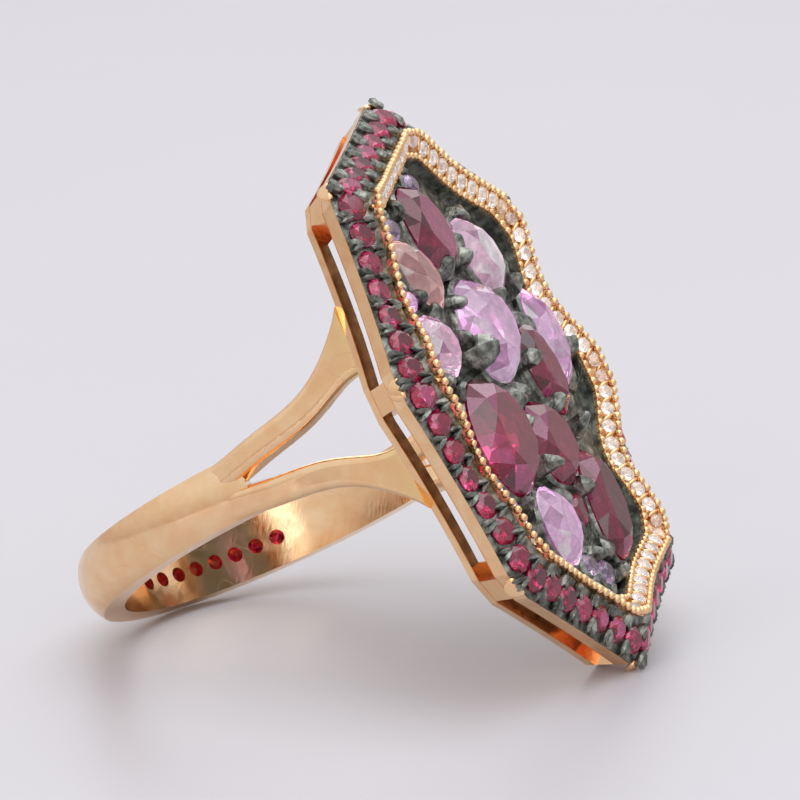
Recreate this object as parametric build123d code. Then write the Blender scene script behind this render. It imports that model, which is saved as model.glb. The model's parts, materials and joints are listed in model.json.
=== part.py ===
"""Cocktail ring: a split-shank rose gold ring with an octagonal stone-set head, lying on its side.

The ring is built in finger coordinates (X across the finger hole, Y along the finger, Z out
through the head, origin in the centre of the finger hole) and then laid on its support points,
with Z = 0 on the table. Millimetres.
"""
from build123d import *
from math import atan2, cos, degrees, hypot, pi, radians, sin
import os

# ---------------------------------------------------------------- driving dimensions
# shank
finger_radius = 8.5
band_thickness = 1.45
band_width = 2.6
band_crown = 0.45            # how much the outside of the band bulges over its edges
fork_start_angle = 16.0      # degrees above the middle of the finger hole
branch_stations = [          # height, offset along the finger, outer reach, depth, width, tilt
    (0.0, 0.50, 9.50, 0.80, 1.00, 14),
    (1.9, 0.66, 9.70, 1.20, 1.26, 14),
    (3.9, 0.98, 9.84, 1.30, 1.24, 10),
    (5.2, 1.18, 9.80, 1.25, 1.26, 6),
    (6.4, 1.46, 9.70, 1.20, 1.32, 3),
    (7.6, 2.00, 9.56, 1.15, 1.50, 0),
    (8.7, 2.65, 9.45, 1.10, 2.00, 0),
    (9.6, 3.20, 9.35, 1.10, 3.00, 0),
]
branch_rounding = 0.3        # corner radius, as a share of the section's thinner side
shank_ruby_count = 8
shank_ruby_diameter = 1.1
shank_ruby_depth = 0.25      # girdle below the band's outside
shank_ruby_first_angle = 212.0   # degrees round the finger hole, from the +X side
shank_ruby_step = 7.2
azure_diameter = 0.7

# head outline, at the top of the gallery
head_half_length = 13.75     # along the finger
head_half_width = 11.15      # across the finger
corner_along = 9.4
corner_across = 8.8
corner_flat = 1.6            # short straight piece at each of the eight corners
edge_dip = 0.25              # how far each edge curves in between its corners
crest_dip = 0.45             # the same, at the diamond crest
crest_wave = 0.5             # how far the crest sinks between two corners
end_edge_share = 0.3         # the edges at the head's two ends curve and sink only this much

# heights of the head's layers above the finger's centre line; the slots open between the rails
rail_bottom = 9.6
slot_bottom = 9.95
slot_top = 10.75
gallery_top = 11.4
border_top = 12.4            # at the corners
crest_top = 12.65
crest_inner_edge = 12.1
crest_bottom = 11.1
dish_top = 11.45
dish_bottom = 10.75
girdle_height = 11.75
stone_stand = 0.03           # a small stone's girdle above its slope

gallery_flare = 0.75         # the gallery is this much narrower at its bottom
gallery_wall = 1.1
post_length = 1.2            # gold left between two slots, round a corner
border_inset = 1.65          # outside edge to the crest
border_lip = 0.04            # the border starts this far inside the gallery's edge
crest_width = 0.95
crest_ridge = 0.06           # flat top of the ridges beside the channel, share of the width
crest_ridge_foot = 0.14
channel_depth = 0.24         # of the crest's channel, which holds the diamonds

border_rubies_per_edge = 7
border_ruby_diameter = 1.2
corner_ruby_diameter = 1.3
border_ruby_pavilion = 0.2   # depth below the girdle, as a share of the diameter
border_ruby_row = 0.52       # where the rubies sit between the outside edge and the crest
crest_diamonds_per_edge = 10
crest_diamond_diameter = 0.7
claw_radius = 0.32
small_claw_share = 0.6       # claws at a small stone are thinner
small_stone_width = 1.8      # a stone is small up to this width
claw_gap = 1.3               # stone to the middle of a claw, in claw radii

# centre stones: name, along the finger, across the finger, length, width, turn, height offset
centre_stones = [
    ("ruby_oval_upper", -7.1, 1.8, 4.4, 3.3, -24, 0.10),
    ("pink_sapphire_far", -5.9, -2.8, 4.0, 3.0, -32, 0.05),
    ("rose_sapphire_pear", -5.0, 4.6, 3.8, 2.3, -36, 0.0),
    ("lilac_sapphire_large", -2.2, 0.7, 5.2, 4.6, 40, 0.15),
    ("rose_sapphire_round", -1.6, 6.1, 3.0, 3.0, 0, 0.05),
    ("ruby_oval_large", 2.8, 4.7, 5.6, 4.9, 25, 0.20),
    ("ruby_cushion", 3.2, -0.7, 4.0, 3.9, 20, 0.10),
    ("ruby_oval_far", -0.4, -3.7, 4.7, 2.5, -12, 0.05),
    ("lilac_sapphire_far", -1.9, -6.2, 4.8, 1.9, 0, 0.0),
    ("lilac_sapphire_lower", 7.0, 2.6, 3.8, 2.9, 15, 0.10),
    ("ruby_long_far", 6.3, -3.3, 5.4, 2.7, 14, 0.10),
    ("ruby_small", 6.35, -0.75, 1.7, 1.3, 40, 0.0),
    ("lilac_round_end", 9.3, -0.5, 1.2, 1.2, 0, 0.0),
    ("lilac_round_inner", 8.9, 0.9, 1.1, 1.1, 0, 0.0),
    ("violet_round_upper", -7.2, 4.9, 1.1, 1.1, 0, 0.0),
    ("violet_round_side", -9.4, 0.6, 1.1, 1.1, 0, 0.0),
    ("lilac_round_side", -3.8, 6.6, 1.0, 1.0, 0, 0.0),
    ("lilac_round_waist", 0.1, 7.5, 0.8, 0.8, 0, 0.0),
    ("lilac_round_lower", 5.9, 6.2, 1.0, 1.0, 0, 0.0),
]

# resting pose
lean_angle = 60.2            # the head end dips towards the table
roll_angle = 12.5            # and the ring rolls towards its far side


# ---------------------------------------------------------------- small helpers
def outline_corners(inset):
    """The eight corners, counter-clockwise from +X, moved inwards by about the inset."""
    reach_x, reach_y = head_half_width - inset, head_half_length - 1.08 * inset
    side_x, side_y = corner_across - 0.77 * inset, corner_along - 0.70 * inset
    quarter = [(reach_x, 0), (side_x, side_y), (0, reach_y), (-side_x, side_y)]
    return quarter + [(-x, -y) for x, y in quarter]


def toward(a, b, distance):
    """The point at the given distance from a on the way to b."""
    share = distance / hypot(b[0] - a[0], b[1] - a[1])
    return (a[0] + share * (b[0] - a[0]), a[1] + share * (b[1] - a[1]))


def edge_span(inset, number):
    """Both ends of one curved edge, between the flats of its two corners."""
    corners = outline_corners(inset)
    a, b = corners[number], corners[(number + 1) % 8]
    trim = corner_flat / 2
    return toward(a, b, trim), toward(b, a, trim)


def curve_share(number):
    """Side edges curve in full, end edges only in part."""
    return 1 if number in (0, 3, 4, 7) else end_edge_share


def edge_point(inset, number, share, dip):
    """A point on a curved edge: share runs from 0 to 1, dip is a side edge's depth of curve."""
    a, b = edge_span(inset, number)
    x, y = a[0] + share * (b[0] - a[0]), a[1] + share * (b[1] - a[1])
    length = hypot(b[0] - a[0], b[1] - a[1])
    inward = (-(b[1] - a[1]) / length, (b[0] - a[0]) / length)
    depth = 4 * share * (1 - share) * dip * curve_share(number)
    return (x + depth * inward[0], y + depth * inward[1]), inward


def outline(inset, height, dip):
    """The head's outline as a closed wire at one height."""
    edges = []
    for number in range(8):
        a, b = edge_span(inset, number)
        middle, _ = edge_point(inset, number, 0.5, dip)
        following, _ = edge_span(inset, (number + 1) % 8)
        edges.append(ThreePointArc((*a, height), (*middle, height), (*b, height)))
        edges.append(Line((*b, height), (*following, height)))
    return Face(Wire(edges))


def even_share(inset, number, index, count):
    """Even spacing of a row from corner to corner, given as a share of the curved edge."""
    a, b = edge_span(inset, number)
    spare = corner_flat / 2 / hypot(b[0] - a[0], b[1] - a[1])
    return (index + 0.5) / count * (1 + 2 * spare) - spare


def wave_depth(number, share):
    """How far the crest has sunk at a share of an edge."""
    depth = crest_wave * curve_share(number)
    return depth * (1 - cos(2 * pi * min(max(share, 0), 1))) / 2


def rim_slice(outer, inner, profile, number, share):
    """A slice across the head's rim, between two lines given as inset and dip. Each point of
    the profile has a share of the way inwards, a height and whether it follows the wave."""
    (x0, y0), _ = edge_point(outer[0], number, share, outer[1])
    (x1, y1), _ = edge_point(inner[0], number, share, inner[1])
    points = []
    for across, height, follows in profile:
        z = height - follows * wave_depth(number, share)
        points.append((x0 + across * (x1 - x0), y0 + across * (y1 - y0), z))
    return Face(Wire.make_polygon(points))


def rim(outer, inner, profile):
    """A closed rim round the head, with level pieces at the corners."""
    pieces = []
    for number in range(8):
        slices = [rim_slice(outer, inner, profile, number, step / 6) for step in range(7)]
        following = rim_slice(outer, inner, profile, (number + 1) % 8, 0)
        pieces += [loft(slices), loft([slices[-1], following], ruled=True)]
    return pieces[0] + pieces[1:]


def slope_place(point, inward, height, slope):
    """A place whose Z leans outwards by the slope, in radians, from straight up."""
    lean = (-inward[0] * sin(slope), -inward[1] * sin(slope), cos(slope))
    return Plane((*point, height), x_dir=(-inward[1], inward[0], 0), z_dir=lean).location


def tier(lower, upper):
    """A solid between two outlines, each given as inset, height and dip."""
    return loft([outline(*lower), outline(*upper)], ruled=True)


def round_stone(diameter, crown=0.16, pavilion=0.30):
    """A small round brilliant on its girdle plane, as a plain turned solid."""
    r, girdle = diameter / 2, 0.03 * diameter
    points = [
        (0, -pavilion * diameter), (0.18 * r, -pavilion * diameter), (r, -girdle),
        (r, girdle), (0.58 * r, crown * diameter), (0, crown * diameter),
    ]
    profile = Polyline(*[(x, 0, z) for x, z in points], close=True)
    return revolve(make_face(profile), Axis.Z)


def oval_stone(length, width):
    """A faceted oval as stacked ellipses: culet, girdle and table."""
    crown, pavilion, girdle = 0.10 * (length + width), 0.13 * (length + width), 0.06
    sections = [
        (0.25, -pavilion), (1.0, -girdle), (1.0, girdle), (0.60, crown),
    ]
    faces = [Pos(0, 0, z) * Ellipse(width * k / 2, length * k / 2) for k, z in sections]
    return loft(faces, ruled=True)


# ---------------------------------------------------------------- shank
def band():
    """The plain half of the shank, a band with a flat inside and a crowned outside."""
    inner, outer = finger_radius, finger_radius + band_thickness
    half, edge = band_width / 2, outer - band_crown
    profile = make_face(Wire([
        Line((inner, -half, 0), (edge, -half, 0)),
        ThreePointArc((edge, -half, 0), (outer, 0, 0), (edge, half, 0)),
        Line((edge, half, 0), (inner, half, 0)),
        Line((inner, half, 0), (inner, -half, 0)),
    ]))
    sweep_angle = 180 + 2 * fork_start_angle
    return Rot(Y=-fork_start_angle) * revolve(profile, Axis.Y, sweep_angle)


def branch():
    """One of the four fork branches, from the band up to the gallery."""
    sections = []
    for height, along, reach, depth, width, tilt in branch_stations:
        section = Rot(Z=tilt) * RectangleRounded(depth, width, branch_rounding * min(depth, width))
        sections.append(Pos(reach - depth / 2, along, height) * section)
    return loft(sections)


def shank_ruby_places():
    girdle_radius = finger_radius + band_thickness - shank_ruby_depth
    places = []
    for number in range(shank_ruby_count):
        angle = shank_ruby_first_angle + number * shank_ruby_step
        places.append(Rot(Y=-angle) * Pos(girdle_radius, 0, 0) * Rot(Y=90))
    return places


def shank():
    near = branch()
    pair = [near, mirror(near, Plane.XZ)]
    body = band() + pair + [mirror(one, Plane.YZ) for one in pair]
    drill = Pos(0, 0, -band_thickness) * Cylinder(azure_diameter / 2, 2 * band_thickness)
    finger = Rot(X=90) * Cylinder(finger_radius, head_half_length)
    azures = [place * drill for place in shank_ruby_places()]
    return body - [finger] - azures - shank_rubies()


def shank_rubies():
    return [place * round_stone(shank_ruby_diameter) for place in shank_ruby_places()]


# ---------------------------------------------------------------- gallery
def gallery_inset(height):
    return gallery_flare * (gallery_top - height) / (gallery_top - rail_bottom)


def gallery_layer(bottom, top):
    """A closed frame of the gallery wall between two heights."""
    outside = tier((gallery_inset(bottom), bottom, edge_dip), (gallery_inset(top), top, edge_dip))
    inside = tier(
        (gallery_inset(bottom) + gallery_wall, bottom, edge_dip),
        (gallery_inset(top) + gallery_wall, top, edge_dip),
    )
    return outside - inside


def gallery_posts():
    """The eight corner posts between the two rails."""
    layer = gallery_layer(slot_bottom, slot_top)
    middle = (slot_bottom + slot_top) / 2
    posts = []
    for x, y in outline_corners(gallery_inset(middle) + gallery_wall / 2):
        turn = degrees(atan2(y, x))
        block = Pos(x, y, middle) * Rot(Z=turn) * Box(3 * gallery_wall, post_length, 1)
        posts.append(layer & block)
    return posts


# ---------------------------------------------------------------- border and crest
def border_rubies(number):
    """The rubies along one edge of the border, starting at its corner."""
    inset = border_ruby_row * border_inset
    stones = []
    for index in range(border_rubies_per_edge):
        share = even_share(inset, number, index, border_rubies_per_edge)
        point, inward = edge_point(inset, number, share, edge_dip)
        rise = border_top - wave_depth(number, share) - gallery_top
        height = gallery_top + border_ruby_row * rise + stone_stand
        diameter = corner_ruby_diameter if index == 0 else border_ruby_diameter
        place = slope_place(point, inward, height, atan2(rise, border_inset))
        stones.append(place * round_stone(diameter, pavilion=border_ruby_pavilion))
    return stones


def border_plate(rubies):
    profile = [(0, gallery_top, 0), (1, gallery_top, 0), (1, border_top, 1)]
    return rim((border_lip, edge_dip), (border_inset, crest_dip), profile) - rubies


def crest_diamonds():
    """A row of diamonds on the crest's inward slope."""
    inset = border_inset + crest_width / 2
    fall = crest_top - crest_inner_edge
    stone = round_stone(crest_diamond_diameter)
    stones = []
    for number in range(8):
        for index in range(crest_diamonds_per_edge):
            share = even_share(inset, number, index, crest_diamonds_per_edge)
            point, inward = edge_point(inset, number, share, crest_dip)
            height = crest_top - fall / 2 - wave_depth(number, share) + stone_stand
            stones.append(slope_place(point, inward, height, -atan2(fall, crest_width)) * stone)
    return stones


def crest_rail():
    """The crest: a sloping channel between two thin ridges, which holds the diamonds."""
    fall = crest_top - crest_inner_edge
    profile = [(0, crest_bottom, 0), (1, crest_bottom, 0)]
    ridge, foot = crest_ridge, crest_ridge_foot
    for across, depth in ((1, 0), (1 - ridge, 0), (1 - foot, 1), (foot, 1), (ridge, 0), (0, 0)):
        profile.append((across, crest_top - across * fall - depth * channel_depth, 1))
    inner = (border_inset + crest_width, crest_dip)
    return rim((border_inset, crest_dip), inner, profile)


# ---------------------------------------------------------------- centre
def stone_place(along, across, turn, offset):
    return Pos(across, along, girdle_height + offset) * Rot(Z=-turn)


def centre_stone(length, width, along, across, turn, offset):
    place = stone_place(along, across, turn, offset)
    if abs(length - width) < 0.05:
        return place * round_stone(length, crown=0.22, pavilion=0.30)
    return place * oval_stone(length, width)


def centre_plate(stones):
    inner = border_inset + crest_width
    plate = tier((inner, dish_bottom, crest_dip), (inner, dish_top, crest_dip))
    return plate - stones


def outside_stone(x, y, stone, margin):
    """Whether a point keeps the margin to a stone's girdle."""
    _, along, across, length, width, turn, _ = stone
    dx, dy, angle = x - across, y - along, radians(-turn)
    u, v = dx * cos(angle) + dy * sin(angle), dy * cos(angle) - dx * sin(angle)
    return hypot(u / (width / 2 + margin), v / (length / 2 + margin)) >= 1


def claw_places():
    """Feet of the claws: up to four round a large stone, two at a small one."""
    places = []
    for stone in centre_stones:
        _, along, across, length, width, turn, offset = stone
        large = min(length, width) > small_stone_width
        radius = claw_radius if large else small_claw_share * claw_radius
        gap = claw_gap * radius
        for start in (45, 135, 225, 315) if large else (90, 270):
            angle = radians(start)
            u, v = (width / 2 + gap) * cos(angle), (length / 2 + gap) * sin(angle)
            lean = radians(-turn)
            x = across + u * cos(lean) - v * sin(lean)
            y = along + u * sin(lean) + v * cos(lean)
            free = all(outside_stone(x, y, other, 0.9 * gap) for other in centre_stones)
            apart = all(hypot(x - px, y - py) > 2.2 * claw_radius for px, py, _, _ in places)
            if free and apart and inside_dish(x, y, gap):
                places.append((x, y, radius, girdle_height + offset + 0.16 * min(length, width)))
    return places


def inside_dish(x, y, margin):
    """Whether a point keeps the margin to the crest's inside wall."""
    inset = border_inset + crest_width + margin
    for number in range(8):
        (mx, my), inward = edge_point(inset, number, 0.5, crest_dip)
        if (x - mx) * inward[0] + (y - my) * inward[1] < 0:
            return False
    return True


def claws():
    """Tapered claws that stand on the centre plate and reach over the girdles."""
    pieces = []
    for x, y, radius, top in claw_places():
        height = top - dish_top
        pieces.append(Pos(x, y, dish_top + height / 2) * Cone(1.15 * radius, 0.7 * radius, height))
    return pieces


# ---------------------------------------------------------------- assembly
def ring_pieces():
    """Every piece in finger coordinates: node name to a list of solids."""
    rubies = [border_rubies(number) for number in range(8)]
    pieces = {
        "shank": [shank()],
        "shank_rubies": shank_rubies(),
        "gallery_lower_rail": [gallery_layer(rail_bottom, slot_bottom)],
        "gallery_posts": gallery_posts(),
        "gallery_upper_rail": [gallery_layer(slot_top, gallery_top)],
    }
    for number, row in enumerate(rubies):
        pieces[f"border_rubies_edge_{number + 1}"] = row
    pieces["border_plate"] = [border_plate([stone for row in rubies for stone in row])]
    pieces["crest_rail"] = [crest_rail()]
    pieces["crest_diamonds"] = crest_diamonds()
    stones = []
    for name, along, across, length, width, turn, offset in centre_stones:
        stone = centre_stone(length, width, along, across, turn, offset)
        stones.append(stone)
        pieces[name] = [stone]
    pieces["centre_plate"] = [centre_plate(stones)]
    pieces["centre_claws"] = claws()
    return pieces


def lay_down(pieces):
    """Turn the ring onto its side and set it on the table, centred on its footprint."""
    turn = Rot(Y=-roll_angle) * Rot(X=-lean_angle)
    laid = {name: [turn * one for piece in group for one in piece.solids()]
            for name, group in pieces.items()}
    box = Compound([one for group in laid.values() for one in group]).bounding_box()
    shift = Pos(-box.center().X, -box.center().Y, -box.min.Z)
    return {name: Compound([shift * one for one in group]) for name, group in laid.items()}


os.makedirs("parts", exist_ok=True)
for node, shape in lay_down(ring_pieces()).items():
    export_step(shape, f"parts/{node}.step")
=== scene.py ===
"""Cocktail ring in Blender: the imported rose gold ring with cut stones, prongs, claws and milgrain.

Every piece is built in millimetres in finger coordinates (X across the finger hole, Y along the
finger, Z out through the head, origin in the centre of the finger hole) and then moved into the
frame by one matrix.
"""
import bpy
import bmesh
import json
from math import atan2, cos, hypot, pi, radians, sin
from random import Random
from mathutils import Matrix, Vector


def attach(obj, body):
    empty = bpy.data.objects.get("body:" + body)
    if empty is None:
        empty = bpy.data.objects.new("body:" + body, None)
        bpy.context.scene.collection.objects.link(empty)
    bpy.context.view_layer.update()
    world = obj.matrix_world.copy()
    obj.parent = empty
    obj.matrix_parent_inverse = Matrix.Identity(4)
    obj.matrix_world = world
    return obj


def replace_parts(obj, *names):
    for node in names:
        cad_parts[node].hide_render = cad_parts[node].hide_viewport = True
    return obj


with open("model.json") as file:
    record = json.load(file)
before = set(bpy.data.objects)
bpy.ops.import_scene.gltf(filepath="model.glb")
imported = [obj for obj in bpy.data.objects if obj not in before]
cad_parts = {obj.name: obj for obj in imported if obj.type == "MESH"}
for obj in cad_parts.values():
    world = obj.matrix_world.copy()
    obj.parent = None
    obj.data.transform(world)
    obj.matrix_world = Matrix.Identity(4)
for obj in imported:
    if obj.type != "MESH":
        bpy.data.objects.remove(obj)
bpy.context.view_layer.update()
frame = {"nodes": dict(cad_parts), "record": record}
nodes = frame["nodes"]

# ---------------------------------------------------------------- frame
lean_angle, roll_angle = 60.2, 12.5
finger_centre = Vector(frame["record"]["mounts"][0]["pos_m"])
finger = (
    Matrix.Translation(finger_centre)
    @ Matrix.Rotation(radians(-roll_angle), 4, "Y")
    @ Matrix.Rotation(radians(-lean_angle), 4, "X")
    @ Matrix.Scale(0.001, 4)
)

# ---------------------------------------------------------------- sizes of the head, as in the CAD
head_half_length, head_half_width = 13.75, 11.15
corner_along, corner_across, corner_flat = 9.4, 8.8, 1.6
edge_dip, crest_dip, crest_wave, end_edge_share = 0.25, 0.45, 0.5, 0.3
gallery_top, border_top = 11.4, 12.4
slot_bottom, slot_top = 9.95, 10.75
crest_top, crest_inner_edge, dish_top = 12.65, 12.1, 11.45
girdle_height = 11.75
border_inset, crest_width = 1.65, 0.95
border_rubies_per_edge, border_ruby, corner_ruby, border_ruby_row = 7, 1.2, 1.3, 0.52
crest_diamonds_per_edge, crest_diamond = 10, 0.7
stone_stand = 0.03
shank_ruby_count, shank_ruby, shank_ruby_reach = 8, 1.1, 9.7
shank_ruby_first_angle, shank_ruby_step = 212, 7.2

# sizes that only the visual model has
bead_radius, bead_inset = 0.19, 0.08
liner_gap, liner_thickness, liner_drop = 0.02, 0.08, 0.10
small_claw_growth = 1.3
claw_spacing = 0.75          # a CAD claw nearer than this to a tall one is left out

# centre stones: name, along, across, length, width, turn, height offset, gem
centre_stones = [
    ("ruby_oval_upper", -7.1, 1.8, 4.4, 3.3, -24, 0.10, "ruby"),
    ("pink_sapphire_far", -5.9, -2.8, 4.0, 3.0, -32, 0.05, "pink"),
    ("rose_sapphire_pear", -5.0, 4.6, 3.8, 2.3, -36, 0.0, "rose"),
    ("lilac_sapphire_large", -2.2, 0.7, 5.2, 4.6, 40, 0.15, "lilac"),
    ("rose_sapphire_round", -1.6, 6.1, 3.0, 3.0, 0, 0.05, "pink"),
    ("ruby_oval_large", 2.8, 4.7, 5.6, 4.9, 25, 0.20, "ruby"),
    ("ruby_cushion", 3.2, -0.7, 4.0, 3.9, 20, 0.10, "ruby"),
    ("ruby_oval_far", -0.4, -3.7, 4.7, 2.5, -12, 0.05, "ruby"),
    ("lilac_sapphire_far", -1.9, -6.2, 4.8, 1.9, 0, 0.0, "lilac"),
    ("lilac_sapphire_lower", 7.0, 2.6, 3.8, 2.9, 15, 0.10, "lilac"),
    ("ruby_long_far", 6.3, -3.3, 5.4, 2.7, 14, 0.10, "ruby"),
    ("ruby_small", 6.35, -0.75, 1.7, 1.3, 40, 0.0, "ruby"),
    ("lilac_round_end", 9.3, -0.5, 1.2, 1.2, 0, 0.0, "violet"),
    ("lilac_round_inner", 8.9, 0.9, 1.1, 1.1, 0, 0.0, "violet"),
    ("violet_round_upper", -7.2, 4.9, 1.1, 1.1, 0, 0.0, "violet"),
    ("violet_round_side", -9.4, 0.6, 1.1, 1.1, 0, 0.0, "violet"),
    ("lilac_round_side", -3.8, 6.6, 1.0, 1.0, 0, 0.0, "lilac"),
    ("lilac_round_waist", 0.1, 7.5, 0.8, 0.8, 0, 0.0, "lilac"),
    ("lilac_round_lower", 5.9, 6.2, 1.0, 1.0, 0, 0.0, "lilac"),
]

# claws that stand free between the stones: along, across, width, height above the dish
tall_claws = [
    (-5.2, 1.9, 0.8, 1.15), (-3.6, 2.6, 0.75, 1.1), (-1.0, 3.2, 1.15, 1.75),
    (0.1, 7.0, 0.7, 0.9), (0.7, 6.6, 0.7, 0.95), (1.1, 1.7, 0.9, 1.3),
    (2.2, 1.9, 0.75, 1.25), (4.3, 2.2, 0.85, 1.9), (-0.8, -2.2, 0.8, 1.3),
    (1.6, -2.6, 0.8, 1.35), (2.6, -4.4, 0.9, 1.4), (5.3, -1.7, 0.8, 1.25),
    (5.8, 4.9, 0.7, 1.0), (-1.2, -7.5, 0.9, 1.35), (-3.6, -1.9, 0.85, 1.25),
    (-4.4, -4.9, 0.8, 1.2), (-8.2, 3.0, 0.7, 0.9), (-5.8, -0.5, 0.8, 1.1),
    (8.4, -0.2, 0.7, 0.9), (9.4, -1.9, 0.8, 1.0), (-3.9, 5.7, 0.7, 0.9),
]


# ---------------------------------------------------------------- outline of the head
def outline_corners(inset):
    """The eight corners, counter-clockwise from +X, moved inwards by about the inset."""
    reach_x, reach_y = head_half_width - inset, head_half_length - 1.08 * inset
    side_x, side_y = corner_across - 0.77 * inset, corner_along - 0.70 * inset
    quarter = [(reach_x, 0), (side_x, side_y), (0, reach_y), (-side_x, side_y)]
    return [Vector(p) for p in quarter + [(-x, -y) for x, y in quarter]]


def curve_share(number):
    """Side edges curve in full, end edges only in part."""
    return 1 if number in (0, 3, 4, 7) else end_edge_share


def edge_point(inset, number, share, dip):
    """A point on a curved edge between two corner flats, its inward normal and direction."""
    corners = outline_corners(inset)
    a, b = corners[number], corners[(number + 1) % 8]
    ahead = (b - a).normalized()
    inward = Vector((-ahead.y, ahead.x))
    start, end = a + corner_flat / 2 * ahead, b - corner_flat / 2 * ahead
    depth = 4 * share * (1 - share) * dip * curve_share(number)
    return start + share * (end - start) + depth * inward, inward, ahead


def even_share(inset, number, step, count):
    """Even spacing of a row from corner to corner, given as a share of the curved edge."""
    corners = outline_corners(inset)
    length = (corners[(number + 1) % 8] - corners[number]).length - corner_flat
    spare = corner_flat / 2 / length
    return step / count * (1 + 2 * spare) - spare


def wave_depth(number, share):
    """How far the crest has sunk at a share of an edge."""
    depth = crest_wave * curve_share(number)
    return depth * (1 - cos(2 * pi * min(max(share, 0), 1))) / 2


def crest_walk(inset, height, pitch):
    """Evenly spaced points round the crest, which rises and falls along its edges."""
    path = []
    for number in range(8):
        for k in range(17):
            point, _, _ = edge_point(inset, number, k / 16, crest_dip)
            path.append(Vector((point.x, point.y, height - wave_depth(number, k / 16))))
    path.append(path[0])
    lengths = [0.0]
    for a, b in zip(path, path[1:]):
        lengths.append(lengths[-1] + (b - a).length)
    count, points, k = round(lengths[-1] / pitch), [], 0
    for step in range(count):
        target = step * lengths[-1] / count
        while lengths[k + 1] < target:
            k += 1
        share = (target - lengths[k]) / (lengths[k + 1] - lengths[k])
        points.append(path[k].lerp(path[k + 1], share))
    return points


def on_slope(point, inward, ahead, height, slope):
    """A place whose X runs along the edge and whose Z leans outwards by the slope."""
    up = Vector((-inward.x * sin(slope), -inward.y * sin(slope), cos(slope)))
    along = Vector((ahead.x, ahead.y, 0))
    place = Matrix((along, up.cross(along), up)).transposed().to_4x4()
    place.translation = (point.x, point.y, height)
    return place


# ---------------------------------------------------------------- mesh helpers
def add_piece(name, bm, material, smooth=False):
    """A finished piece from a mesh in finger coordinates."""
    bmesh.ops.recalc_face_normals(bm, faces=bm.faces)
    bm.transform(finger)
    mesh = bpy.data.meshes.new(name)
    bm.to_mesh(mesh)
    bm.free()
    mesh.polygons.foreach_set("use_smooth", [smooth] * len(mesh.polygons))
    mesh.materials.append(material)
    piece = bpy.data.objects.new(name, mesh)
    bpy.context.scene.collection.objects.link(piece)
    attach(piece, "root")
    return piece


def add_bevel(piece, width, segments=2):
    bevel = piece.modifiers.new("soft_edges", "BEVEL")
    bevel.width = width * 0.001
    bevel.segments = segments
    bevel.limit_method = "ANGLE"
    bevel.angle_limit = radians(32)
    bevel.harden_normals = True
    return bevel


def ring_of(bm, place, rx, ry, height, count, offset=0.0):
    angles = [2 * pi * (k + offset) / count for k in range(count)]
    return [bm.verts.new(place @ Vector((rx * cos(a), ry * sin(a), height))) for a in angles]


def bridge(bm, lower, upper):
    count = len(lower)
    for k in range(count):
        bm.faces.new((lower[k], lower[(k + 1) % count], upper[(k + 1) % count], upper[k]))


facet_chance = Random(23)


def shade_facets(bm, first):
    """Gives every new facet its own painted light and shade, a random value which the gem materials
    read.
    """
    layer = bm.loops.layers.float_color.get("facet") or bm.loops.layers.float_color.new("facet")
    bm.faces.ensure_lookup_table()
    for face in bm.faces[first:]:
        # Random painted light and shade per facet, standing in for the stone's own reflections.
        tone = facet_chance.random()
        for loop in face.loops:
            loop[layer] = (tone, tone, tone, 1)


def add_gem(bm, place, length, width, crown, pavilion, table=0.56, mains=8):
    """A brilliant on its girdle plane: table, stars, kites, halves, girdle and pavilion."""
    first = len(bm.faces)
    rx, ry, girdle = width / 2, length / 2, 0.012 * (length + width)
    waist, depth = 0.80, 0.34
    half_turn = cos(pi / mains)
    kite_height = girdle + crown * (1 - waist * half_turn) / (1 - table)
    lower_height = -girdle - pavilion * (1 - depth * half_turn)
    top = ring_of(bm, place, table * rx, table * ry, girdle + crown, mains)
    kites = ring_of(bm, place, waist * rx, waist * ry, kite_height, mains, 0.5)
    upper = ring_of(bm, place, rx, ry, girdle, 2 * mains)
    lower = ring_of(bm, place, rx, ry, -girdle, 2 * mains)
    deep = ring_of(bm, place, depth * rx, depth * ry, lower_height, mains, 0.5)
    culet = bm.verts.new(place @ Vector((0, 0, -girdle - pavilion)))
    bm.faces.new(top)
    bridge(bm, lower, upper)
    for k in range(mains):
        after, before = (k + 1) % mains, (k - 1) % mains
        g0, g1, g2 = 2 * k, 2 * k + 1, (2 * k + 2) % (2 * mains)
        bm.faces.new((top[k], top[after], kites[k]))
        bm.faces.new((top[k], kites[before], upper[g0], kites[k]))
        bm.faces.new((kites[k], upper[g0], upper[g1]))
        bm.faces.new((kites[k], upper[g1], upper[g2]))
        bm.faces.new((deep[k], lower[g0], lower[g1]))
        bm.faces.new((deep[k], lower[g1], lower[g2]))
        bm.faces.new((culet, deep[before], lower[g0], deep[k]))
    shade_facets(bm, first)


def add_leaf(bm, place, length, width, height):
    """An almond-shaped prong with a ridge, pointing along X."""
    rim = [(-0.5, 0), (-0.2, 0.5), (0.22, 0.42), (0.5, 0.04), (0.22, -0.42), (-0.2, -0.5)]
    foot = [bm.verts.new(place @ Vector((x * length, y * width, -height))) for x, y in rim]
    side = [bm.verts.new(place @ Vector((x * length, y * width, 0.15 * height))) for x, y in rim]
    tail = bm.verts.new(place @ Vector((-0.24 * length, 0.05 * width, height)))
    ridge = bm.verts.new(place @ Vector((0.24 * length, -0.04 * width, 0.85 * height)))
    bridge(bm, foot, side)
    for a, b, peak in ((0, 1, tail), (2, 3, ridge), (3, 4, ridge), (5, 0, tail)):
        bm.faces.new((side[a], side[b], peak))
    bm.faces.new((side[1], side[2], ridge, tail))
    bm.faces.new((side[4], side[5], tail, ridge))
    bm.faces.new(foot)


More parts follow.
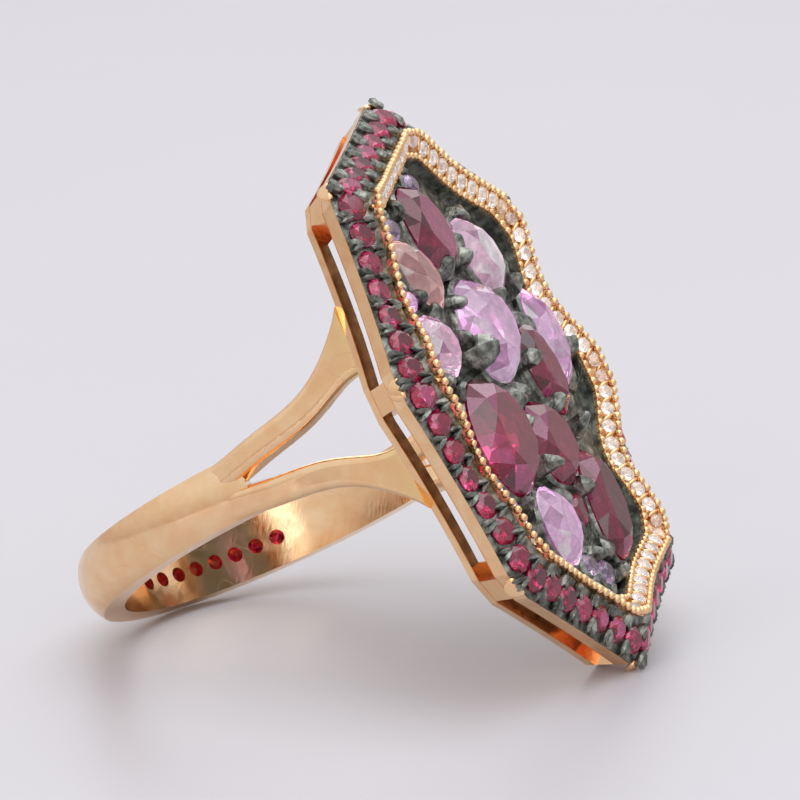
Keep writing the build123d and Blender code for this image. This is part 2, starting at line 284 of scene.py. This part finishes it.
def add_claw(bm, foot, width, height, point, chance):
    """A rough hand-cut claw: an uneven six-sided foot, a folded shoulder and a leaning point."""
    levels = [(-0.25, 1.2), (0.30, 1.05), (0.66, 0.88), (0.90, 0.48)]
    rings = []
    turn = chance.uniform(0, pi)
    stretch = [chance.uniform(0.8, 1.2) for _ in range(6)]
    for level, size in levels:
        ring = []
        for k in range(6):
            a = turn + 2 * pi * k / 6
            r = 0.62 * width * size * stretch[k] * chance.uniform(0.86, 1.14)
            lean = max(level, 0) ** 2 * point
            z = level * height + chance.uniform(-0.05, 0.05)
            ring.append(bm.verts.new((foot.x + r * cos(a) + lean.x, foot.y + r * sin(a) + lean.y,
                                      foot.z + z)))
        rings.append(ring)
    for lower, upper in zip(rings, rings[1:]):
        bridge(bm, lower, upper)
    tip = bm.verts.new((foot.x + point.x, foot.y + point.y, foot.z + height))
    for k in range(6):
        bm.faces.new((rings[-1][k], rings[-1][(k + 1) % 6], tip))
    bm.faces.new(rings[0])


def add_bead(bm, centre, radius):
    bmesh.ops.create_icosphere(bm, subdivisions=2, radius=radius, matrix=Matrix.Translation(centre))


# ---------------------------------------------------------------- materials
def new_material(name, colour, metallic, roughness):
    material = bpy.data.materials.new(name)
    material.use_nodes = True
    tree = material.node_tree
    shader = tree.nodes["Principled BSDF"]
    shader.inputs["Base Color"].default_value = (*colour, 1)
    shader.inputs["Metallic"].default_value = metallic
    shader.inputs["Roughness"].default_value = roughness
    return material, tree, shader


def add_node(tree, kind, **values):
    node = tree.nodes.new(kind)
    for key, value in values.items():
        setattr(node, key, value)
    return node


def object_noise(tree, scale, detail=4.0, stretch=(1, 1, 1)):
    """Noise on the object's own coordinates, with its scale in features per millimetre."""
    coords = add_node(tree, "ShaderNodeTexCoord")
    mapping = add_node(tree, "ShaderNodeMapping")
    mapping.inputs["Rotation"].default_value = (radians(-lean_angle), radians(-roll_angle), 0)
    mapping.inputs["Scale"].default_value = [1000 * s for s in stretch]
    noise = add_node(tree, "ShaderNodeTexNoise")
    noise.inputs["Scale"].default_value = scale
    noise.inputs["Detail"].default_value = detail
    tree.links.new(coords.outputs["Object"], mapping.inputs["Vector"])
    tree.links.new(mapping.outputs["Vector"], noise.inputs["Vector"])
    return noise.outputs["Fac"]


def ramp(tree, value, stops):
    """Maps a value through (position, colour) stops."""
    node = add_node(tree, "ShaderNodeValToRGB")
    elements = node.color_ramp.elements
    while len(elements) < len(stops):
        elements.new(0.5)
    for element, (position, colour) in zip(elements, stops):
        element.position = position
        element.color = (*colour, 1)
    tree.links.new(value, node.inputs["Fac"])
    return node.outputs["Color"]


def vary_roughness(tree, shader, value, low, high):
    node = add_node(tree, "ShaderNodeMapRange")
    node.inputs["From Min"].default_value = 0.3
    node.inputs["From Max"].default_value = 0.7
    node.inputs["To Min"].default_value = low
    node.inputs["To Max"].default_value = high
    tree.links.new(value, node.inputs["Value"])
    tree.links.new(node.outputs["Result"], shader.inputs["Roughness"])


def bump(tree, shader, value, distance, strength=1.0):
    """Relief whose depth is given in millimetres."""
    node = add_node(tree, "ShaderNodeBump")
    node.inputs["Distance"].default_value = distance * 0.001
    node.inputs["Strength"].default_value = strength
    tree.links.new(value, node.inputs["Height"])
    tree.links.new(node.outputs["Normal"], shader.inputs["Normal"])
    return node


def gold(name, base, deep, roughness, scratch):
    """Polished rose gold: cloudy tint, worn patches and fine scratches."""
    material, tree, shader = new_material(name, base, 1.0, roughness)
    clouds = object_noise(tree, 0.6)
    tree.links.new(ramp(tree, clouds, [(0.35, deep), (0.62, base)]), shader.inputs["Base Color"])
    vary_roughness(tree, shader, object_noise(tree, 1.4, 6.0), 0.6 * roughness, 1.5 * roughness)
    bump(tree, shader, object_noise(tree, 3.0, 6.0, (0.25, 2.5, 0.6)), scratch)
    return material


def finger_height(tree):
    """Height above the finger's centre line, in millimetres."""
    coords = add_node(tree, "ShaderNodeTexCoord")
    offset = add_node(tree, "ShaderNodeVectorMath", operation="SUBTRACT")
    offset.inputs[1].default_value = finger_centre
    height = add_node(tree, "ShaderNodeVectorMath", operation="DOT_PRODUCT")
    height.inputs[1].default_value = 1e6 * (finger.to_3x3() @ Vector((0, 0, 1)))
    tree.links.new(coords.outputs["Object"], offset.inputs[0])
    tree.links.new(offset.outputs["Vector"], height.inputs[0])
    return height.outputs["Value"]


def blend_by(tree, share, first, second):
    mix = add_node(tree, "ShaderNodeMix", data_type="RGBA")
    tree.links.new(share, mix.inputs["Factor"])
    sockets = [socket for socket in mix.inputs if socket.type == "RGBA"]
    for value, socket in zip((first, second), sockets):
        if isinstance(value, tuple):
            socket.default_value = (*value, 1)
        else:
            tree.links.new(value, socket)
    return [socket for socket in mix.outputs if socket.type == "RGBA"][0]


def band_between(tree, value, edges):
    """1 between the two inner values and 0 outside the two outer ones."""
    shares = []
    for low, high in (edges[:2], edges[:1:-1]):
        node = add_node(tree, "ShaderNodeMapRange")
        node.inputs["From Min"].default_value = low
        node.inputs["From Max"].default_value = high
        tree.links.new(value, node.inputs["Value"])
        shares.append(node.outputs["Result"])
    product = add_node(tree, "ShaderNodeMath", operation="MULTIPLY")
    tree.links.new(shares[0], product.inputs[0])
    tree.links.new(shares[1], product.inputs[1])
    return product.outputs["Value"]


def hair_scratches(tree, value, width):
    """Thin curved lines, where a smooth noise passes its middle value."""
    line = add_node(tree, "ShaderNodeMath", operation="COMPARE")
    line.inputs[1].default_value = 0.5
    line.inputs[2].default_value = width
    tree.links.new(value, line.inputs[0])
    return line.outputs["Value"]


def shank_gold():
    """The shank's gold: hairline scratches, and yellow solder where it meets the gallery."""
    material, tree, shader = new_material("rose_gold_shank", (0.93, 0.60, 0.37), 1.0, 0.16)
    clouds = object_noise(tree, 0.9)
    rose = ramp(tree, clouds, [(0.35, (0.96, 0.60, 0.32)), (0.62, (1.0, 0.70, 0.41))])
    uneven = add_node(tree, "ShaderNodeMath", operation="MULTIPLY_ADD")
    uneven.inputs[1].default_value = 3.0
    tree.links.new(clouds, uneven.inputs[0])
    tree.links.new(finger_height(tree), uneven.inputs[2])
    solder = band_between(tree, uneven.outputs["Value"], (9.8, 11.2, 30, 31))
    softer = add_node(tree, "ShaderNodeMath", operation="MULTIPLY")
    softer.inputs[1].default_value = 0.55
    tree.links.new(solder, softer.inputs[0])
    tree.links.new(blend_by(tree, softer.outputs["Value"], rose, (0.86, 0.62, 0.26)),
                   shader.inputs["Base Color"])
    vary_roughness(tree, shader, object_noise(tree, 1.6, 6.0), 0.10, 0.24)
    scratches = hair_scratches(tree, object_noise(tree, 0.35, 1.0, (1, 0.4, 1)), 0.0012)
    worn = add_node(tree, "ShaderNodeMath", operation="SUBTRACT")
    tree.links.new(object_noise(tree, 3.5, 6.0, (0.2, 2.6, 0.5)), worn.inputs[0])
    tree.links.new(scratches, worn.inputs[1])
    bump(tree, shader, worn.outputs["Value"], 0.005)
    return material


def gallery_gold():
    """Polished gold, painted deep orange inside the slots as the reflection and shade where gold
    only faces gold.
    """
    material, tree, shader = new_material("rose_gold_gallery", (0.92, 0.60, 0.38), 1.0, 0.18)
    clouds = object_noise(tree, 1.2)
    face = ramp(tree, clouds, [(0.35, (0.96, 0.60, 0.32)), (0.62, (1.0, 0.70, 0.41))])
    # Painted reflection and shade: deep orange inside the slots, the band between slot bottom and
    # slot top.
    deep = ramp(tree, clouds, [(0.35, (0.78, 0.26, 0.06)), (0.62, (0.95, 0.40, 0.12))])
    inside = band_between(tree, finger_height(tree), (slot_bottom - 0.06, slot_bottom - 0.02,
                                                      slot_top + 0.02, slot_top + 0.06))
    tree.links.new(blend_by(tree, inside, face, deep), shader.inputs["Base Color"])
    vary_roughness(tree, shader, object_noise(tree, 2.2, 6.0), 0.10, 0.24)
    bump(tree, shader, object_noise(tree, 3.0, 6.0, (0.4, 2.0, 0.8)), 0.006)
    return material


def black_rhodium():
    """Blackened metal: grey-green, darker and lighter in random patches, scratched by hand work."""
    material, tree, shader = new_material("black_rhodium", (0.15, 0.16, 0.14), 1.0, 0.42)
    patches = object_noise(tree, 2.2, 6.0)
    stops = [(0.32, (0.07, 0.075, 0.066)), (0.5, (0.20, 0.21, 0.185)), (0.68, (0.42, 0.43, 0.38))]
    tree.links.new(ramp(tree, patches, stops), shader.inputs["Base Color"])
    vary_roughness(tree, shader, object_noise(tree, 4.0, 5.0), 0.26, 0.55)
    bump(tree, shader, object_noise(tree, 5.0, 6.0, (0.6, 1.8, 1)), 0.05)
    return material


def gem(name, colour, shade, spark, glow, ior=1.77):
    """A clear stone with painted light: each facet carries its own painted light and shade, from a
    dark painted shade up to a painted glint for some flash, and its colour glows faintly as painted
    light, with faint silk.
    """
    material, tree, shader = new_material(f"gem_{name}", colour, 0.0, 0.03)
    facet = add_node(tree, "ShaderNodeAttribute", attribute_name="facet")
    zones = object_noise(tree, 1.1, 4.0)
    blend = add_node(tree, "ShaderNodeMath", operation="MULTIPLY_ADD")
    blend.inputs[1].default_value = 0.45
    tree.links.new(zones, blend.inputs[0])
    weaker = add_node(tree, "ShaderNodeMath", operation="MULTIPLY_ADD")
    weaker.inputs[1].default_value = 1.15
    weaker.inputs[2].default_value = -0.26
    tree.links.new(facet.outputs["Fac"], weaker.inputs[0])
    tree.links.new(weaker.outputs["Value"], blend.inputs[2])
    # Painted shade at the low end, the stone's colour in the middle, a painted glint at the top.
    stops = [(0.10, shade), (0.50, colour), (0.88, colour), (0.98, spark)]
    tint = ramp(tree, blend.outputs["Value"], stops)
    tree.links.new(tint, shader.inputs["Base Color"])
    # Painted glow: the same colour is given as emission, though the stone is no lamp.
    tree.links.new(tint, shader.inputs["Emission Color"])
    shader.inputs["Emission Strength"].default_value = glow
    shader.inputs["IOR"].default_value = ior
    shader.inputs["Transmission Weight"].default_value = 0.88
    vary_roughness(tree, shader, object_noise(tree, 5.0, 3.0), 0.02, 0.06)
    return material


def paper():
    """The pale, slightly glossy surface the ring lies on."""
    material, tree, shader = new_material("pale_surface", (0.70, 0.69, 0.72), 0.0, 0.42)
    clouds = object_noise(tree, 0.02, 2.0)
    stops = [(0.3, (0.482, 0.475, 0.50)), (0.7, (0.495, 0.488, 0.513))]
    tree.links.new(ramp(tree, clouds, stops), shader.inputs["Base Color"])
    return material


# Each stone: colour, painted shade, painted glint and strength of the painted glow.
gems = {
    "ruby": gem("ruby", (0.50, 0.008, 0.085), (0.17, 0.002, 0.020), (0.92, 0.16, 0.42), 0.08),
    "rose": gem("rose", (0.95, 0.58, 0.55), (0.58, 0.26, 0.27), (1.0, 0.92, 0.92), 0.26),
    "pink": gem("pink", (0.94, 0.58, 0.78), (0.50, 0.22, 0.38), (1.0, 0.94, 1.0), 0.26),
    "lilac": gem("lilac", (0.90, 0.55, 0.86), (0.44, 0.14, 0.36), (1.0, 0.93, 1.0), 0.26),
    "violet": gem("violet", (0.52, 0.35, 0.54), (0.20, 0.11, 0.22), (0.90, 0.80, 0.95), 0.07),
    "diamond": gem("diamond", (0.95, 0.93, 0.92), (0.60, 0.54, 0.50), (1.0, 1.0, 1.0), 0.12, 2.2),
}
rose_gold = gold("rose_gold", (1.0, 0.70, 0.41), (0.96, 0.60, 0.32), 0.18, 0.008)
grain_gold = gold("rose_gold_milgrain", (0.98, 0.66, 0.36), (0.86, 0.50, 0.24), 0.22, 0.015)
dark_metal = black_rhodium()


# ---------------------------------------------------------------- carried-over CAD nodes
def dress(name, material, bevel=None):
    node = nodes[name]
    node.data.materials.clear()
    node.data.materials.append(material)
    if bevel:
        add_bevel(node, bevel)


dress("shank", shank_gold(), 0.10)
wall_gold = gallery_gold()
dress("gallery_lower_rail", wall_gold, 0.08)
dress("gallery_upper_rail", wall_gold, 0.08)
dress("gallery_posts", rose_gold)
dress("border_plate", dark_metal, 0.05)
dress("crest_rail", grain_gold, 0.05)
dress("centre_plate", dark_metal)


# ---------------------------------------------------------------- stones
def centre_gems():
    for name, along, across, length, width, turn, offset, kind in centre_stones:
        place = Matrix.Translation((across, along, girdle_height + offset))
        place = place @ Matrix.Rotation(radians(-turn), 4, "Z")
        bm = bmesh.new()
        size = length + width
        table = 0.66 if kind == "ruby" else 0.54
        crown = 0.085 * size if kind == "ruby" else 0.10 * size
        add_gem(bm, place, length, width, crown, 0.17 * size, table)
        piece = add_piece(f"cut_{name}", bm, gems[kind])
        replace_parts(piece, name)


def border_place(number, step, row, stand):
    """A place on the border's slope: step counts along the edge, row runs from 0 to 1 inwards."""
    inset = row * border_inset
    share = even_share(inset, number, step, border_rubies_per_edge)
    point, inward, ahead = edge_point(inset, number, share, edge_dip)
    rise = border_top - wave_depth(number, share) - gallery_top
    height = gallery_top + row * rise
    place = on_slope(point, inward, ahead, height, atan2(rise, border_inset))
    return place @ Matrix.Translation((0, 0, stand))


def border_gems():
    for number in range(8):
        bm = bmesh.new()
        for index in range(border_rubies_per_edge):
            place = border_place(number, index + 0.5, border_ruby_row, stone_stand)
            diameter = corner_ruby if index == 0 else border_ruby
            turned = place @ Matrix.Rotation(0.7 * index, 4, "Z")
            add_gem(bm, turned, diameter, diameter, 0.18 * diameter, 0.20 * diameter)
        piece = add_piece(f"cut_border_rubies_{number + 1}", bm, gems["ruby"])
        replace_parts(piece, f"border_rubies_edge_{number + 1}")


def border_prongs():
    """Two split, leaf-shaped prongs in each gap between the border's rubies."""
    chance = Random(3)
    for number in range(8):
        bm = bmesh.new()
        for step in range(1, border_rubies_per_edge + 1):
            for row, heading in ((0.25, pi / 2), (0.82, -pi / 2)):
                place = border_place(number, step, row, 0.12)
                for side in (-1, 1):
                    turn = heading + side * 0.30 + chance.uniform(-0.12, 0.12)
                    leaf = place @ Matrix.Translation((0.12 * side, 0, 0))
                    leaf = leaf @ Matrix.Rotation(turn, 4, "Z")
                    leaf = leaf @ Matrix.Rotation(0.25 * side, 4, "X")
                    add_leaf(bm, leaf, 0.84, 0.30, chance.uniform(0.15, 0.20))
        add_bevel(add_piece(f"border_prongs_{number + 1}", bm, dark_metal), 0.025)


def crest_place(number, step, stand):
    """A place in the middle of the crest's channel."""
    inset, fall = border_inset + crest_width / 2, crest_top - crest_inner_edge
    share = even_share(inset, number, step, crest_diamonds_per_edge)
    point, inward, ahead = edge_point(inset, number, share, crest_dip)
    height = crest_top - fall / 2 - wave_depth(number, share)
    place = on_slope(point, inward, ahead, height, -atan2(fall, crest_width))
    return place @ Matrix.Translation((0, 0, stand))


def crest_gems():
    bm = bmesh.new()
    for number in range(8):
        for index in range(crest_diamonds_per_edge):
            place = crest_place(number, index + 0.5, stone_stand)
            add_gem(bm, place, crest_diamond, crest_diamond, 0.13, 0.20, table=0.5)
    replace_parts(add_piece("cut_crest_diamonds", bm, gems["diamond"]), "crest_diamonds")


def crest_grains():
    """Milgrain along both ridges of the crest and slanted gold bars between its diamonds."""
    bm = bmesh.new()
    chance = Random(5)
    outer, inner = border_inset + bead_inset, border_inset + crest_width - bead_inset
    ridges = [(outer, crest_top), (inner, crest_inner_edge)]
    for inset, height in ridges:
        for point in crest_walk(inset, height, 2.2 * bead_radius):
            add_bead(bm, point, bead_radius * chance.uniform(0.88, 1.12))
    for number in range(8):
        for index in range(crest_diamonds_per_edge):
            bar = crest_place(number, index, 0.0) @ Matrix.Rotation(0.45, 4, "Z")
            bar = bar @ Matrix.Diagonal((0.75, 2.6, 0.9, 1))
            bmesh.ops.create_icosphere(bm, subdivisions=2, radius=0.15, matrix=bar)
    add_piece("crest_milgrain", bm, grain_gold, smooth=True)


def crest_liner():
    """The blackened wall inside the crest, down to the dish."""
    bm = bmesh.new()
    walls = []
    near, far = liner_gap, liner_gap + liner_thickness
    for depth, top in ((near, True), (far, True), (far, False), (near, False)):
        inset = border_inset + crest_width + depth
        wall = []
        for number in range(8):
            for k in range(13):
                point, _, _ = edge_point(inset, number, k / 12, crest_dip)
                rim = crest_inner_edge - wave_depth(number, k / 12) - liner_drop
                wall.append(bm.verts.new((point.x, point.y, rim if top else dish_top - liner_gap)))
        walls.append(wall)
    for lower, upper in zip(walls, walls[1:] + walls[:1]):
        bridge(bm, lower, upper)
    add_piece("crest_liner", bm, dark_metal)


def shank_gems():
    bm = bmesh.new()
    for number in range(shank_ruby_count):
        angle = radians(shank_ruby_first_angle + shank_ruby_step * number)
        place = Matrix.Rotation(-angle, 4, "Y") @ Matrix.Translation((shank_ruby_reach, 0, 0))
        place = place @ Matrix.Rotation(pi / 2, 4, "Y")
        add_gem(bm, place, shank_ruby, shank_ruby, 0.15, 0.30)
    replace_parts(add_piece("cut_shank_rubies", bm, gems["ruby"]), "shank_rubies")


# ---------------------------------------------------------------- claws and seats
def toward_stone(along, across):
    """The direction from a claw's foot to the nearest stone's middle."""
    foot = Vector((across, along))
    middles = [Vector((stone[2], stone[1])) for stone in centre_stones]
    nearest = min(middles, key=lambda middle: (middle - foot).length)
    return (nearest - foot).normalized()


def small_claw_feet():
    """Feet of the CAD claws, one for each loose piece of their node."""
    bm = bmesh.new()
    bm.from_mesh(nodes["centre_claws"].data)
    bmesh.ops.remove_doubles(bm, verts=bm.verts, dist=1e-7)
    back = finger.inverted()
    feet, seen = [], set()
    for start in bm.verts:
        if start in seen:
            continue
        island, stack = [], [start]
        seen.add(start)
        while stack:
            vert = stack.pop()
            island.append(back @ vert.co)
            for edge in vert.link_edges:
                other = edge.other_vert(vert)
                if other not in seen:
                    seen.add(other)
                    stack.append(other)
        xs, ys, zs = zip(*island)
        width = max(xs) - min(xs)
        feet.append(((max(xs) + min(xs)) / 2, (max(ys) + min(ys)) / 2, width, max(zs) - min(zs)))
    bm.free()
    return feet


def centre_claws():
    chance = Random(11)
    bm = bmesh.new()
    feet = [(across, along, width, height) for along, across, width, height in tall_claws]
    for across, along, width, height in small_claw_feet():
        if all(hypot(across - x, along - y) > claw_spacing for x, y, _, _ in feet):
            feet.append((across, along, small_claw_growth * width, height))
    for across, along, width, height in feet:
        lean = 0.35 * width * toward_stone(along, across)
        foot = Vector((across, along, dish_top))
        add_claw(bm, foot, width, height, Vector((lean.x, lean.y, 0)), chance)
    piece = add_piece("cut_centre_claws", bm, dark_metal)
    add_bevel(piece, 0.04)
    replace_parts(piece, "centre_claws")


def stone_seats():
    """The blackened walls that the stones sit in, uneven along their rims."""
    chance = Random(7)
    bm = bmesh.new()
    for _, along, across, length, width, turn, offset, _ in centre_stones:
        place = Matrix.Translation((across, along, 0)) @ Matrix.Rotation(radians(-turn), 4, "Z")
        rim = girdle_height + offset + 0.02
        rings = []
        for margin, height in ((0.30, dish_top - 0.1), (0.22, rim - 0.12), (0.03, rim)):
            ring = ring_of(bm, place, width / 2 + margin, length / 2 + margin, height, 22)
            for vert in ring:
                vert.co.z += chance.uniform(-0.05, 0.05)
            rings.append(ring)
        for lower, upper in zip(rings, rings[1:]):
            bridge(bm, lower, upper)
    add_piece("stone_seats", bm, dark_metal)


def corner_nubs():
    """Rounded gold nubs that lap over the border at the eight corners of the gallery."""
    bm = bmesh.new()
    for number in range(8):
        corner = outline_corners(0)[number]
        before, after = outline_corners(0)[number - 1], outline_corners(0)[(number + 1) % 8]
        inward = ((before - corner).normalized() + (after - corner).normalized()).normalized()
        ahead = Vector((inward.y, -inward.x))
        rings = []
        for height, half, depth, thick in ((gallery_top - 0.60, 0.28, 0.13, 0.16),
                                           (gallery_top - 0.25, 0.55, 0.13, 0.30),
                                           (gallery_top + 0.05, 0.60, 0.16, 0.36),
                                           (gallery_top + 0.14, 0.34, 0.26, 0.28)):
            face = corner + inward * depth
            points = [face - half * ahead, face + half * ahead]
            points += [p + inward * thick for p in reversed(points)]
            rings.append([bm.verts.new((p.x, p.y, height)) for p in points])
        for lower, upper in zip(rings, rings[1:]):
            bridge(bm, lower, upper)
        bm.faces.new(rings[0])
        bm.faces.new(rings[-1])
    piece = add_piece("corner_nubs", bm, rose_gold, smooth=True)
    rounding = piece.modifiers.new("rounding", "SUBSURF")
    rounding.levels = rounding.render_levels = 2


centre_gems()
border_gems()
border_prongs()
crest_gems()
crest_grains()
crest_liner()
shank_gems()
centre_claws()
stone_seats()
corner_nubs()


# ---------------------------------------------------------------- table, light and camera
def lay_table():
    bm = bmesh.new()
    bmesh.ops.create_grid(bm, x_segments=8, y_segments=8, size=1.2)
    mesh = bpy.data.meshes.new("table")
    bm.to_mesh(mesh)
    bm.free()
    mesh.materials.append(paper())
    table = bpy.data.objects.new("table", mesh)
    bpy.context.scene.collection.objects.link(table)


def add_softbox(name, offset, size, power, colour, mirrored=True):
    """An area light that faces the finger hole. Unless mirrored, polished metal doesn't show it."""
    light = bpy.data.lights.new(name, "AREA")
    light.shape = "RECTANGLE"
    light.size, light.size_y = size
    light.energy = power
    light.color = colour
    lamp = bpy.data.objects.new(name, light)
    lamp.location = finger_centre + Vector(offset)
    lamp.rotation_mode = "QUATERNION"
    lamp.rotation_quaternion = (-Vector(offset)).to_track_quat("-Z", "Y")
    lamp.visible_glossy = mirrored
    bpy.context.scene.collection.objects.link(lamp)


def light_room():
    world = bpy.data.worlds.new("pale_room")
    world.use_nodes = True
    tree = world.node_tree
    background = tree.nodes["Background"]
    coords = add_node(tree, "ShaderNodeTexCoord")
    split = add_node(tree, "ShaderNodeSeparateXYZ")
    tree.links.new(coords.outputs["Generated"], split.inputs["Vector"])
    stops = [(0.0, (0.62, 0.54, 0.53)), (0.12, (0.72, 0.66, 0.65)), (0.55, (0.92, 0.93, 0.98))]
    tree.links.new(ramp(tree, split.outputs["Z"], stops), background.inputs["Color"])
    background.inputs["Strength"].default_value = 0.88
    bpy.context.scene.world = world


def aim_camera():
    """A long lens about 22 cm off, level with the head's near side."""
    position = Vector((198.35, 33.38, 87.23))
    right = Vector((-0.4035, 0.4227, 0.8115))
    up = Vector((-0.0263, -0.8919, 0.4515))
    axes = Matrix((right, up, right.cross(up))).transposed()
    turned = (finger.to_3x3().normalized() @ axes).to_4x4()
    data = bpy.data.cameras.new("camera")
    data.sensor_width = 36
    data.lens = 224.7
    data.clip_start = 0.01
    camera = bpy.data.objects.new("camera", data)
    camera.matrix_world = Matrix.Translation(finger @ position) @ turned
    bpy.context.scene.collection.objects.link(camera)
    bpy.context.scene.camera = camera


lay_table()
light_room()
add_softbox("top_softbox", (-0.05, 0.10, 0.45), (0.5, 0.5), 1.1, (0.96, 0.98, 1.0))
add_softbox("left_softbox", (-0.35, -0.15, 0.22), (0.3, 0.3), 0.3, (1.0, 0.98, 0.96))
add_softbox("right_softbox", (0.35, 0.25, 0.20), (0.25, 0.3), 0.25, (0.97, 0.98, 1.0))
add_softbox("front_fill", (0.40, -0.05, 0.07), (0.35, 0.12), 1.3, (1.0, 0.82, 0.80), False)
aim_camera()
bpy.context.scene.view_settings.view_transform = "Standard"
